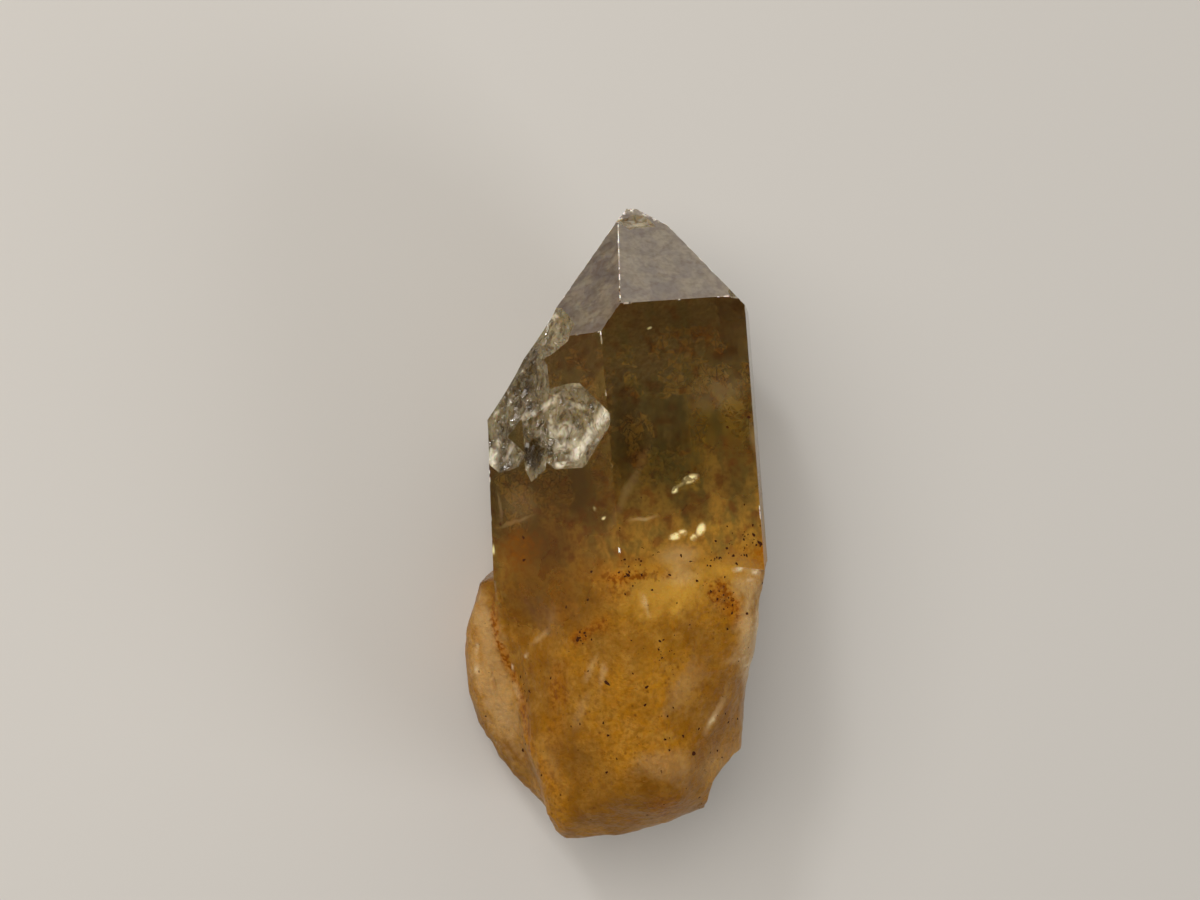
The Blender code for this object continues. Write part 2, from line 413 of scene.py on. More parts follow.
def beadAt(spot):  # how white a nick is
    least = bruiseSet["leastWhite"]
    frostAndGlints = share(grainAt(spot, bruiseSet["whiteGrains"]), *bruiseSet["whiteFade"])
    return bruiseAt(spot) * (least + (1.0 - least) * frostAndGlints)


def nickEdges(piece):
    divideCrisp(piece)
    mesh = piece.data
    rough = {i for face in mesh.polygons if not isFlat(face) for i in face.vertices}
    crisp = {key for key in crispEdges(mesh) if not rough & set(key)}

    def isBruised(edge):
        start, end = [mesh.vertices[i].co for i in edge.vertices]
        return edge.key in crisp and bruiseAt((start + end) / 2) > 0.0

    print("nicked edges:", selectIn(piece, "EDGE", isBruised))
    width = pointSet["nickWidth"] * mm
    bpy.ops.mesh.bevel(offset=width, segments=1, affect="EDGES", clamp_overlap=False)
    bpy.ops.object.mode_set(mode="OBJECT")
    spots = piece.data.vertices
    normalOf = {}
    for face in piece.data.polygons:
        if isFlat(face):
            for i in face.vertices:
                normalOf.setdefault(i, face.normal.copy())
    largest = pointSet["nickArea"] * mm * mm
    nicked = [
        face.area < largest and not isFlat(face) and all(i in normalOf for i in face.vertices)
        for face in piece.data.polygons
    ]
    moves = {}
    for face in piece.data.polygons:
        for i in face.vertices if nicked[face.index] and len(face.vertices) == 4 else ():
            if i in normalOf and i not in moves:
                away = spots[i].co - face.center
                away -= normalOf[i] * away.dot(normalOf[i])  # a nick bites along its flat face
                grain = grainAt(spots[i].co, pointSet["nickGrains"]) - pointSet["nickLevel"]
                moves[i] = away.normalized() * max(grain, 0.0) * pointSet["nickDepth"] * mm
    for i, move in moves.items():
        spots[i].co += move
    return nicked


def easeRoot(mesh):  # no step where the prism faces run out into the root
    flat = [face for face in mesh.polygons if isFlat(face)]
    walls = [
        (face.normal.copy(), face.normal.dot(mesh.vertices[face.vertices[0]].co))
        for face in flat
        if abs(face.normal.y) < pointSet["wallLean"] and face.area > pointSet["wallArea"] * mm * mm
    ]
    fixed = {i for face in flat for i in face.vertices}
    for vertex in mesh.vertices:
        along = seenAt(vertex.co)[1]
        if along < pointSet["rootTop"] and vertex.index not in fixed:
            heights = [(way.dot(vertex.co) - reach, way) for way, reach in walls]
            proud, normal = max(heights, key=lambda pair: pair[0])
            limit = pointSet["easeProud" if proud > 0.0 else "easeHollow"]
            weight = share(along, *pointSet["easeFade"])
            weight *= share(abs(proud) / mm, limit + pointSet["easeSoft"], limit)
            vertex.co -= normal * proud * weight


def breakWeights(mesh):  # they fade out at the rim, so that the crystal faces stay flat
    rim = {i for face in mesh.polygons if not isBroken(face) for i in face.vertices}
    rimTree = KDTree(len(rim))
    for i in rim:
        rimTree.insert(mesh.vertices[i].co, i)
    rimTree.balance()

    def weightOf(vertex):
        along = seenAt(vertex.co)[1]
        if vertex.index in rim or along < pointSet["breakStart"]:
            return 0.0
        weight = share(rimTree.find(vertex.co)[2] / mm, 0.0, pointSet["rimFade"])
        return weight * (1.0 if along < pointSet["apexStart"] else pointSet["apexFlakes"])

    return weightOf


def rootWeight(vertex):
    onRoot = share(seenAt(vertex.co)[1], *pointSet["rootFade"])
    return onRoot * share(vertex.co.z / mm, *pointSet["footFade"])


def addFlakes(piece):  # long scallops that run down to the left
    guide = addObject("flakeGuide", None)
    flakeTurn = Matrix.Rotation(math.radians(pointSet["flakeTurn"]), 4, "Z")
    stretch = Matrix.Diagonal((1.0, pointSet["flakeStretch"], 1.0, 1.0))
    guide.matrix_world = Matrix.Rotation(-viewTurn, 4, "Y") @ flakeTurn @ stretch
    bpy.context.view_layer.update()
    roughen(piece, "VORONOI", *pointSet["breakFlakes"], "broken", guide)
    roughen(piece, "VORONOI", *pointSet["breakSplinters"], "broken", guide)
    bpy.data.objects.remove(guide)


def keepMarks(mesh, flat, nicked):  # where each finish lies, for the material
    marks = {"nicked": [], "tipFace": [], "brokenFace": []}
    for face in mesh.polygons:
        onApex = seenAt(face.center)[1] > pointSet["apexStart"]
        onTip = flat[face.index] and face.normal.y > pointSet["tipFaceLean"]
        broken = isBroken(face) and not nicked[face.index]
        marks["nicked"].append(beadAt(face.center) if nicked[face.index] else 0.0)
        marks["tipFace"].append(float(onApex or onTip))
        marks["brokenFace"].append((pointSet["apexBroken"] if onApex else 1.0) * broken)
    for name, values in marks.items():
        mesh.attributes.new(name, "FLOAT", "FACE").data.foreach_set("value", values)
    for name, places in {**rootMarks, **breakMarks}.items():
        values = [markedShare(vertex.co, places) for vertex in mesh.vertices]
        mesh.attributes.new(name, "FLOAT", "POINT").data.foreach_set("value", values)


def buildPoint():
    piece = copyOfNode("quartz_point")
    editAll()
    bpy.ops.mesh.remove_doubles(threshold=pointSet["weld"] * mm)
    selectIn(piece, "FACE", lambda face: seenAt(face.center)[1] > 0.0)
    bpy.ops.mesh.dissolve_limited(angle_limit=math.radians(pointSet["sameFace"]))
    bpy.ops.object.mode_set(mode="OBJECT")
    markCrystalFaces(piece.data)
    selectIn(piece, "FACE", lambda face: isBroken(face) or isRoot(face))
    bpy.ops.mesh.quads_convert_to_tris(quad_method="BEAUTY", ngon_method="BEAUTY")
    divideLong(piece, edgesOf(isBroken), pointSet["breakEdge"])
    divideLong(piece, edgesOf(isRoot), pointSet["rootEdge"])
    easeRoot(piece.data)
    weigh(piece, "broken", breakWeights(piece.data))
    weigh(piece, "root", rootWeight)
    makeActive(piece)
    addFlakes(piece)
    roughen(piece, "CLOUDS", *pointSet["rootLumps"], "root")
    roughen(piece, "CLOUDS", *pointSet["rootGrit"], "root")
    nicked = nickEdges(piece)
    mesh = piece.data
    flat = [isFlat(face) for face in mesh.polygons]
    keepMarks(mesh, flat, nicked)
    hard = [flat[face.index] or nicked[face.index] or isBroken(face) for face in mesh.polygons]
    bpy.ops.object.shade_smooth_by_angle(angle=math.radians(pointSet["creaseAngle"]))
    selectIn(piece, "FACE", lambda face: hard[face.index])
    bpy.ops.mesh.faces_shade_flat()
    bpy.ops.object.mode_set(mode="OBJECT")
    return piece


# The marks on the side that faces the camera: across, along, half width, half length, turn in
# degrees, strength. Those on the root and the fracture are kept with the mesh, which is fine
# there, and those on the large crystal faces are drawn by nodes.
rootMarks = {
    "stain": {
        "footLine": (-2.2, -1.3, 4.2, 0.8, -4, 0.9),
        "footPatch": (-2.4, -2.4, 2.6, 2.0, 20, 0.5),
        "footRight": (2.6, -1.2, 2.2, 0.6, -25, 0.6),
        "underGlints": (9.8, -4.6, 1.5, 1.8, 20, 0.9),
        "underLedge": (11.0, -6.6, 1.2, 1.8, 10, 0.8),
        "middlePatch": (-7.4, -8.2, 1.3, 1.0, 30, 0.9),
        "middleTail": (-5.2, -7.1, 1.8, 0.9, 35, 0.6),
        "leftSmear": (-10.7, -14.4, 1.4, 3.0, -12, 0.5),
        "leftSmearLow": (-11.6, -19.0, 1.4, 3.0, -8, 0.3),
        "lowPatch": (0.6, -29.5, 1.8, 1.6, 0, 0.4),
        "stubSeamTop": (-18.0, -6.0, 0.5, 3.0, 0, 0.8),
        "stubSeamMiddle": (-16.9, -11.2, 0.6, 2.9, 19, 0.8),
        "stubSeamLow": (-15.3, -18.0, 0.6, 4.6, 6, 0.6),
        "stubSeamFoot": (-13.0, -25.0, 0.8, 3.6, 22, 0.3),
    },
    # pale veils in the root, with a few painted highlights among them
    "pale": {
        "underLedge": (13.4, -4.4, 1.8, 1.5, 0, 0.5),
        "rightStrip": (13.2, -11.5, 1.7, 6.2, -3, 0.65),
        "leftRim": (-12.4, -23.5, 0.9, 3.0, 22, 0.12),
        "bottomRight": (8.8, -26.0, 3.4, 2.6, 0, 0.2),
        "bottomHaze": (1.5, -24.5, 3.6, 1.8, -10, 0.25),
        "diagonalHaze": (4.6, -15.0, 1.4, 3.6, -40, 0.2),
        "leftVein": (-8.2, -17.0, 0.6, 2.6, -22, 0.2),
        "rightSpots": (11.4, -13.1, 1.5, 0.6, 0, 0.35),
        # a painted highlight along a ridge
        "longRidgeHighlight": (7.7, -19.6, 0.4, 2.6, -38, 0.5),
        "lensRight": (-5.2, -12.9, 0.35, 1.9, -12, 0.45),
        "lensLeft": (-6.6, -12.2, 0.35, 1.6, -28, 0.35),
        "arcLow": (-12.2, -8.0, 1.6, 0.3, 35, 0.45),
        "arcRim": (-10.6, -5.4, 0.35, 1.6, -20, 0.35),
        "footStreak": (0.7, -4.9, 0.35, 1.2, 12, 0.6),
        "stubStreak": (-16.0, -14.9, 0.4, 1.2, 20, 0.7),
        "stubBelly": (-18.8, -14.5, 2.4, 7.0, 10, 0.5),
        "stubTop": (-19.2, -7.0, 1.8, 4.0, 6, 0.5),
        # painted glints under the ledge
        "underGlints": (5.3, -2.0, 1.8, 1.2, 0, 0.4),
    },
    "dusk": {  # the smoky brown of the clear half reaches down here
        "leftBay": (-12.0, -3.2, 4.6, 4.2, 10, 0.65),
        "arcs": (-13.0, -6.6, 2.6, 2.6, 0, 0.2),
        "middleBand": (-4.0, -3.6, 3.0, 1.6, 0, 0.3),
        "rightBand": (8.5, -12.5, 3.2, 4.4, -20, 0.4),
        "lowRight": (9.0, -21.0, 2.6, 5.0, -30, 0.3),
        "lowLeft": (-9.0, -24.0, 3.0, 5.0, 20, 0.4),
        "bottom": (-2.0, -28.0, 9.0, 4.0, 0, 0.45),
    },
    "frostAndGlints": {  # small frosty faces of the broken skin, with painted glints and sheen on them
        "ledgeLeft": (12.6, -2.1, 0.7, 0.3, 12, 1.0),
        "ledgeRight": (14.7, -2.6, 0.6, 0.4, -15, 1.0),
        "ledgeFoot": (13.6, -3.6, 0.9, 0.25, 0, 0.5),
        "rightDash": (11.8, -13.0, 0.7, 0.14, 0, 0.7),
        "rightDashLow": (12.6, -14.0, 0.5, 0.14, 0, 0.6),
        "rightSheen": (14.3, -9.0, 0.4, 2.8, -3, 0.4),
        "ridgeGlint": (7.4, -20.0, 0.22, 0.9, -38, 0.6),
        "stubGlint": (-20.6, -9.4, 0.2, 0.8, -12, 0.6),
        "stubGlintLow": (-20.9, -12.0, 0.2, 0.6, 0, 0.6),
        "seamGlint": (-16.3, -11.9, 0.15, 0.4, 0, 0.9),
        "bayGlint": (-14.4, -10.2, 0.2, 0.4, 0, 0.7),
    },
    "paintedGlow": {  # a painted glow in clearer honey, where light coming through the root is painted in
        "foot": (2.5, -3.2, 6.0, 3.2, -8, 0.85),
        "right": (10.0, -3.0, 4.0, 2.6, 10, 0.6),
        "middle": (-1.5, -11.0, 5.0, 4.5, -20, 0.1),
    },
}
breakMarks = {
    # frost on the break, with painted highlights along the rim of its scoop and on its scallops
    "frost": {
        "rimTop": (-1.2, 19.6, 0.55, 1.5, -6, 1.0),
        "rimUpper": (-2.1, 18.0, 0.8, 1.4, -32, 1.0),
        "rimMiddle": (-3.7, 16.2, 0.7, 1.7, -40, 1.0),
        "rimLow": (-5.4, 14.2, 0.6, 1.6, -45, 1.0),
        "rimFoot": (-7.8, 12.7, 1.0, 0.4, 12, 1.0),
        "ring": (-4.9, 22.2, 0.8, 0.4, 0, 0.8),
        "ringRight": (-3.9, 22.0, 0.25, 0.5, 0, 0.7),
        "centre": (-7.0, 16.6, 1.4, 1.2, 0, 0.7),
        "centreLow": (-6.8, 14.9, 1.5, 0.9, 15, 0.7),
        "scallopUpper": (-5.2, 19.6, 1.6, 0.35, -28, 0.6),
        "scallopLeft": (-8.6, 17.6, 0.3, 1.4, -10, 0.6),
        "bandRight": (-8.2, 20.4, 1.6, 0.45, 38, 0.75),
        "bandLeft": (-11.1, 19.0, 1.6, 0.4, 18, 0.7),
        "leftStrip": (-16.4, 13.4, 0.8, 2.4, -18, 1.0),
        "leftStripTop": (-15.4, 15.8, 0.4, 1.2, -25, 0.8),
        "leftStreak": (-13.9, 15.0, 0.3, 1.6, -30, 0.6),
        "shoulder": (-15.2, 19.6, 0.6, 0.3, 50, 0.8),
        "upperStreak": (-7.0, 24.4, 0.2, 1.0, -10, 0.6),
        "upperGlint": (-11.5, 24.3, 0.5, 0.3, 40, 0.8),
        "topGlint": (-6.9, 30.7, 0.5, 0.4, 0, 1.0),
        "apexLeft": (1.9, 42.2, 0.7, 0.35, 20, 1.0),
        "apexTop": (4.0, 42.9, 1.4, 0.3, -3, 0.9),
        "apexArc": (6.0, 41.9, 0.35, 0.8, -25, 1.0),
        "apexArcLow": (4.8, 41.3, 1.3, 0.22, 4, 0.8),
        "rightCorner": (16.2, 30.3, 0.9, 0.6, -40, 0.9),
    },
    "hollow": {  # where the break looks into dark glass
        "darkLens": (-11.1, 14.1, 1.1, 2.2, -6, 0.9),
        "darkOval": (-10.9, 22.7, 0.5, 1.2, 0, 0.9),
        "upperDark": (-10.0, 25.6, 0.4, 1.2, -25, 0.7),
        "topDark": (-7.5, 31.0, 0.5, 0.8, -30, 0.6),
        "lowLeft": (-14.0, 12.4, 1.6, 1.2, 0, 0.5),
        "leftMiddle": (-12.8, 17.0, 1.0, 2.4, -34, 0.5),
        "leftFacet": (-14.2, 16.2, 1.8, 2.8, -20, 0.4),
        "upperLeft": (-11.5, 22.5, 2.6, 4.2, -32, 0.4),
        "upperRight": (-8.4, 24.4, 0.8, 2.6, -12, 0.35),
        "rightTop": (-3.0, 21.0, 1.4, 0.8, -20, 0.35),
    },
}
clearMarks = {
    "bay": {"left": (-11.5, -1.6, 5.8, 5.0, 8, 0.65)},  # clear quartz reaches down into the root
    "shade": {
        "topBand": (9.5, 29.0, 9.0, 2.2, 6, 0.4),
        "darkWedge": (0.4, 16.5, 1.5, 5.0, 4, 0.5),
        "belowScoop": (-7.0, 9.0, 5.0, 3.6, -10, 0.3),
        "betweenGlints": (7.4, 6.0, 1.7, 2.0, 10, 0.45),
        "leftLow": (-11.0, 3.0, 4.0, 2.4, 0, 0.5),
        "rightOval": (13.0, 8.5, 1.6, 3.2, 10, 0.3),
    },
    "rust": {
        "leftWide": (-9.0, 6.5, 7.5, 5.5, 0, 0.42),
        "leftFoot": (-4.6, 5.6, 1.6, 3.4, 10, 0.45),
        "leftLow": (-13.5, 3.6, 3.0, 2.2, 15, 0.6),
        "middleLow": (-4.0, 5.0, 2.4, 2.4, 0, 0.4),
        "underScoop": (-6.0, 10.4, 3.0, 1.6, 20, 0.35),
        "topCorner": (12.0, 26.6, 3.6, 1.6, 10, 0.4),
        "rightMiddle": (13.6, 12.2, 1.8, 2.6, 0, 0.35),
    },
    "pale": {
        "hazeRight": (12.2, 19.4, 3.2, 1.7, 15, 0.3),
        "hazeEdge": (16.2, 13.4, 0.7, 2.2, 8, 0.4),
        "crackBar": (1.3, 5.2, 1.4, 0.22, 4, 0.5),
        "leftHaze": (-13.4, 8.4, 1.9, 2.2, 0, 0.3),
        "leftArc": (-14.0, 6.2, 2.2, 0.25, 15, 0.45),
        "leftArcSide": (-15.9, 8.2, 0.25, 2.0, 0, 0.35),
        "wedgeVeil": (0.4, 9.6, 0.5, 4.6, -30, 0.22),
        "aboveFoot": (5.2, 0.2, 2.2, 1.2, 0, 0.4),
    },
    "frost": {  # the bruised apex
        "apexLeft": (2.6, 42.8, 0.35, 1.3, -43, 0.9),
        "apexTop": (4.0, 43.4, 1.1, 0.3, -8, 1.0),
        "apexRight": (6.4, 42.1, 0.3, 2.2, 59, 0.9),
    },
    "glint": {  # painted glints where fresh cracks reach the surface
        "upperRight": (7.6, 9.4, 0.9, 0.4, 28, 1.0),
        "upperTail": (6.3, 8.7, 0.9, 0.2, 35, 0.8),
        "upperLeft": (5.6, 8.1, 0.35, 0.3, 40, 0.9),
        "lowerLeft": (4.9, 2.7, 0.6, 0.4, 10, 0.9),
        "lowerLeftToo": (5.9, 3.1, 0.45, 0.35, -20, 0.8),
        "lowerRight": (8.3, 3.2, 0.4, 0.7, -35, 1.0),
        "lowerRightToo": (7.4, 2.3, 0.4, 0.35, -20, 0.9),
        "goldSpot": (4.3, 27.9, 0.25, 0.18, 20, 0.6),
        "dotOne": (-4.2, 6.9, 0.22, 0.2, 0, 0.9),
        "dotTwo": (-3.2, 5.8, 0.22, 0.2, 0, 0.8),
        "leftEdge": (-17.3, 3.0, 0.2, 0.7, 0, 0.8),
    },
    "stain": {
        "leftOfFoot": (-14.2, 2.6, 2.2, 2.8, 0, 0.9),
        "rightEdge": (15.6, 0.0, 1.1, 2.8, -12, 1.0),
        "rightBand": (12.4, -0.4, 3.6, 1.2, 15, 0.5),
        "footWarmth": (-2.0, 0.2, 4.4, 1.0, -4, 0.4),
    },
}

# How the marks are drawn; sizes are in mm.
markSet = {
    "out": 14.0,  # how far out those drawn by nodes lie
    "ragged": {1.3: 0.45, 0.5: 0.35},  # the noise of their outline: size and weight
    "edge": (1.5, 0.4),
    "sideRagged": 3.0,
    "sideFade": (-1.5, 2.5),  # they fade out round the side
    "drawn": {  # the places that they are laid on, and how soft their edge is
        "bay": ("warped", 0.6),
        "shade": ("warped", 0.7),
        "rust": ("warped", 0.8),
        "pale": ("eased", 0.7),
        "frost": ("eased", 0.6),
        "glint": ("eased", 0.6),
        "stain": ("warped", 0.8),
    },
}


def markedShare(spot, marks):  # from 0 outside the marks to their strength inside
    across, along, out = seenAt(spot)
    ragged = grainAt(spot, markSet["ragged"])
    best = 0.0
    for middleAcross, middleAlong, halfWidth, halfLength, turn, strength in marks.values():
        away = complex(across - middleAcross, along - middleAlong) * cmath.exp(-1j * math.radians(turn))
        reach = math.hypot(away.real / halfWidth, away.imag / halfLength) + ragged
        best = max(best, strength * share(reach, *markSet["edge"]))
    return best * share(out + markSet["sideRagged"] * ragged, *markSet["sideFade"])


def coverOf(tree, places, marks, edge):  # the same by nodes
    depth = markSet["out"]
    cover = 0.0
    for across, along, halfWidth, halfLength, turn, strength in marks.values():
        inside = addNode(tree, "Mapping", {"vector_type": "TEXTURE"}, {
            "Vector": places, "Location": (across, along, depth),
            "Rotation": (0.0, 0.0, math.radians(turn)), "Scale": (halfWidth, halfLength, depth),
        }).outputs[0]
        reach = addNode(tree, "VectorMath", {"operation": "LENGTH"}, {0: inside}).outputs["Value"]
        one = addNode(tree, "MapRange", {"interpolation_type": "SMOOTHSTEP"}, {
            "Value": reach, "From Min": 1.0 + edge, "From Max": 1.0 - edge, "To Max": strength,
        }).outputs[0]
        cover = addNode(tree, "Math", {"operation": "MAXIMUM"}, {0: cover, 1: one}).outputs[0]
    return cover


def noiseAt(tree, places, size, low, high, octaves):  # a smooth share that varies over size mm
    field = addNode(tree, "TexNoise", None, {"Vector": places, "Scale": 1.0 / size, "Detail": octaves})
    return addNode(tree, "MapRange", {"interpolation_type": "SMOOTHSTEP"}, {
        "Value": field.outputs["Fac"], "From Min": low, "From Max": high,
    }).outputs[0]


def overlapOf(tree, *covers):  # high only where all of them are
    whole = covers[0]
    for cover in covers[1:]:
        whole = addNode(tree, "Math", {"operation": "MULTIPLY"}, {0: whole, 1: cover}).outputs[0]
    return whole


def addedUp(tree, start, shares):  # start, plus each share times its weight
    whole = start
    for part, weight in shares:
        whole = addNode(tree, "Math", {"operation": "MULTIPLY_ADD"}, {
            0: part, 1: weight, 2: whole,
        }).outputs[0]
    return whole


def layOver(tree, tone, layers):  # colours over a tone, each by its cover; hex codes or sockets
    for cover, colour in layers:
        under, over = [linearColour(one) if isinstance(one, str) else one for one in (tone, colour)]
        tone = addNode(tree, "Mix", {"data_type": "RGBA"}, {0: cover, 6: under, 7: over}).outputs[2]
    return tone


def toneAlong(tree, height, tones):  # colours that blend into each other, by height in mm
    lowest, highest = min(tones), max(tones)
    part = addNode(tree, "MapRange", None, {"Value": height, "From Min": lowest, "From Max": highest})
    ramp = addNode(tree, "ValToRGB", None, {"Fac": part.outputs[0]})
    stops = ramp.color_ramp.elements
    for level, hexCode in tones.items():
        if level == lowest:
            stop = stops[0]
        elif level == highest:
            stop = stops[-1]
        else:
            stop = stops.new((level - lowest) / (highest - lowest))
        stop.color = linearColour(hexCode)
    return ramp.outputs["Color"]


# Smoky citrine: clear brown glass with mottled veils above, milky honey quartz stained by
# iron below, satin tip faces whose grey also paints in a reflection, and frosty white bruises on the edges.
quartzSet = {
    "clearTones": {  # from golden at the foot of the clear half to brown under the tip, by mm
        0.0: "#d29c3c", 5.0: "#bc9040", 12.0: "#ac8e44", 20.0: "#ccb070", 27.0: "#c09c5c", 31.0: "#a87e48",
    },
    "mottle": "#675f30",
    "rust": "#8a4c20",
    "rootLight": "#c4881a",
    "rootDark": "#92600e",
    "rootCream": "#cc9c46",
    "rootDots": "#6b380c",
    # the tip faces' etched grey, which also paints in the reflection of the bright light above the tip
    "tipEtchAndSheen": "#aca08a",
    "tipEtchAndSheenToo": "#8e827a",
    "broken": "#e0d0a2",
    # frost on the break, laid on with painted highlights
    "frost": "#f8f0de",
    "gleam": "#f6e2ba",
    "hollow": "#4a3818",
    "glint": "#fff2b4",
    "nick": "#f6f2ec",
    "stain": "#a8660c",
    "pale": "#dcbc88",
    "shade": "#573a1c",
    "dusk": "#8a5c18",
    # the colour of the painted glow in the root
    "paintedGlow": "#e8b448",
    "sheen": "#c09c6c",  # warms what the body mirrors, but not the tip
    "shader": {
        "IOR": 1.544,
        "Specular IOR Level": 0.15,
        "Subsurface Weight": 0.5,
        "Subsurface Radius": (1.0, 0.6, 0.25),
        "Subsurface Scale": 2.0 * mm,
    },
    "smoke": {"Color": (0.82, 0.71, 0.1, 1.0), "Density": 52.0},
    "swirl": {"Scale": 0.45, "Detail": 2.0},  # noises are given as so many to a millimetre
    "swell": {"Scale": 0.13, "Detail": 2.0},
    "splinters": {"Scale": 1.6, "Detail": 2.0},
    "grain": {"Scale": 1.4, "Detail": 3.0, "Roughness": 0.6},
    "swellHeight": 12.0,  # mm
    "warps": {"warped": 3.0, "eased": 1.0},  # a swirl moves a place by up to half of this, in mm
    "turns": {  # the warped places turned, in degrees, and scaled
        "leaning": (-9.0, (1.0, 1.0, 1.0)),
        "streaked": (6.8755, (1.0, 0.35, 1.0)),
        "brushed": (-20.0, (0.35, 1.4, 1.0)),
        "splintered": (-pointSet["flakeTurn"], (1.0, 0.25, 1.0)),
    },
    "patterns": {  # the places that they are laid on, size in mm, noise from and to, octaves
        "wide": ("warped", 8.0, 0.38, 0.62, 4.0),
        "middle": ("warped", 2.4, 0.36, 0.66, 4.0),
        "fine": ("seen", 0.6, 0.4, 0.66, 4.0),
        "crumbs": ("seen", 0.9, 0.5, 0.62, 2.0),
        "streaks": ("streaked", 2.6, 0.42, 0.66, 4.0),
        "rusty": ("eased", 1.7, 0.5, 0.68, 4.0),
        "brushed": ("brushed", 1.2, 0.45, 0.7, 2.0),
        "sugary": ("seen", 0.35, 0.44, 0.6, 2.0),
    },
    # which pattern, how strong and in what colour
    "clearLayers": (("streaks", 0.75, "mottle"), ("rusty", 0.6, "rust"), ("fine", 0.3, "shade")),
    "rootLayers": (("wide", 0.8, "rootDark"), ("middle", 0.5, "rootCream"), ("fine", 0.55, "rootDark")),
    "tipLayers": (("middle", 1.0, "tipEtchAndSheenToo"), ("brushed", 0.4, "shade"), ("fine", 0.35, "shade")),
    "stainLayers": (("fine", 0.7, "rootDots"),),
    "dots": ((1.1, 3.5), (2.4, 2.2)),  # rusty ones: how many to a mm, size of their patches in mm
    "dotEdge": {"From Min": 0.26, "From Max": 0.12, "To Max": 0.6},
    "dotPatch": (0.48, 0.6, 2.0),
    "rootFade": {"From Min": 1.6, "From Max": -2.4},  # heights in mm
    "hazeFade": {"From Min": 13.0, "From Max": -1.0},
    "hazeClear": {"To Min": 0.9, "To Max": 0.45},
    "hazeRough": {"To Min": 0.1, "To Max": 0.36},
    "mottleClear": -0.15,  # the mottled veils are less clear
    "mostClear": 0.95,
    "grained": (0.5, 0.5),  # the least of a granular cover, and what the fine pattern adds
    "glintCrumbs": -0.7,  # what the crumbs take off a glint
    "stainGain": 1.7,
    "flaked": {"From Min": 0.4, "From Max": 0.58},
    # the raised flakes of the break are lightened: frost, with a painted highlight on them
    "flakeFrostAndHighlight": (0.55, 0.45),
    "strayFrostAndHighlight": 0.16,
    # painted shade in the hollows between the flakes
    "paintedHollowShade": {"From Min": 0.47, "From Max": 0.38, "To Max": 0.4},
    "relief": {"root": 0.3, "tip": 0.03, "break": 0.14},  # mm, too fine for the mesh
}


def quartzPlaces(tree):  # a place on the crystal in millimetres, as it is and moved about
    places = {"seen": viewPlaces(tree)}
    swirl = addNode(tree, "TexNoise", None, {"Vector": places["seen"], **quartzSet["swirl"]})
    shifted = addNode(tree, "VectorMath", {"operation": "SUBTRACT"}, {
        0: swirl.outputs["Color"], 1: (0.5, 0.5, 0.5),
    }).outputs[0]
    for name, reach in quartzSet["warps"].items():
        places[name] = addNode(tree, "VectorMath", {"operation": "MULTIPLY_ADD"}, {
            0: shifted, 1: (reach, reach, reach), 2: places["seen"],
        }).outputs[0]
    for name, (turn, scale) in quartzSet["turns"].items():
        places[name] = addNode(tree, "Mapping", None, {
            "Vector": places["warped"], "Rotation": (0.0, 0.0, math.radians(turn)), "Scale": scale,
        }).outputs[0]
    return places


def riseOf(tree, places):  # height over the foot of the clear half, which leans and swells
    swell = addNode(tree, "TexNoise", None, {"Vector": places["seen"], **quartzSet["swell"]})
    height = quartzSet["swellHeight"]
    rise = addNode(tree, "SeparateXYZ", None, {"Vector": places["leaning"]}).outputs["Y"]
    rise = addedUp(tree, rise, [(swell.outputs["Fac"], height)])
    return addNode(tree, "Math", {"operation": "SUBTRACT"}, {0: rise, 1: height / 2}).outputs[0]


def patterned(tree, tone, pattern, layers):  # a tone with patterns of other colours over it
    return layOver(tree, tone, [
        (overlapOf(tree, pattern[name], strength), quartzSet[colour]) for name, strength, colour in layers
    ])


def dotted(tree, tone, places):  # rusty dots, finer than the cloudy patches under them
    for perMm, patch in quartzSet["dots"]:
        dots = addNode(tree, "TexVoronoi", None, {"Vector": places["seen"], "Scale": perMm})
        dots = addNode(tree, "MapRange", None, {
            "Value": dots.outputs["Distance"], **quartzSet["dotEdge"],
        }).outputs[0]
        dots = overlapOf(tree, dots, noiseAt(tree, places["warped"], patch, *quartzSet["dotPatch"]))
        tone = layOver(tree, tone, [(dots, quartzSet["rootDots"])])
    return tone


